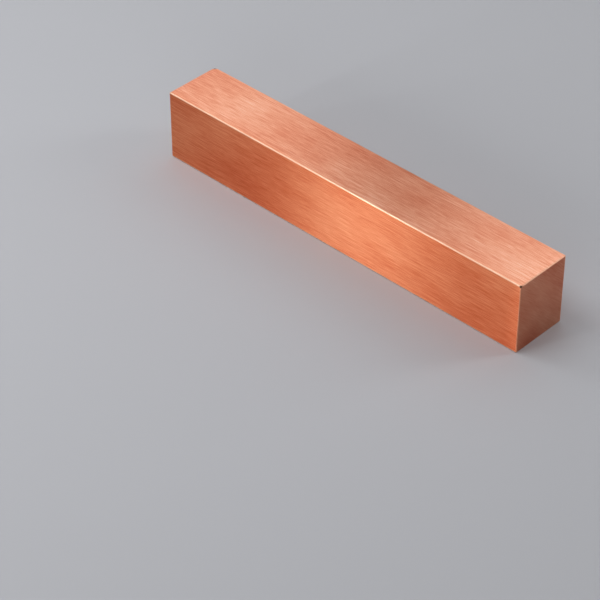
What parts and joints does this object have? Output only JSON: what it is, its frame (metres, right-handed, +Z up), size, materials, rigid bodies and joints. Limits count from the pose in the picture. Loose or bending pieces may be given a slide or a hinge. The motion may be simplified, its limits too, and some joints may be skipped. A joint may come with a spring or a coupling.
{
  "type": "copper ingot",
  "caption": "Solid oblong copper bar with brushed faces, rounded long edges and chamfered cut ends; raw stock to melt, forge or machine.",
  "frame": {"origin": "middle of the underside, on the surface that the bar lies on", "axes": "+X along the bar, +Y across it towards the back, +Z up"},
  "size_m": [0.175, 0.025, 0.03],
  "materials": {
    "brushed_copper": "satin"
  },
  "bodies": {
    "root": {"ingot": "brushed_copper"}
  },
  "joints": []
}
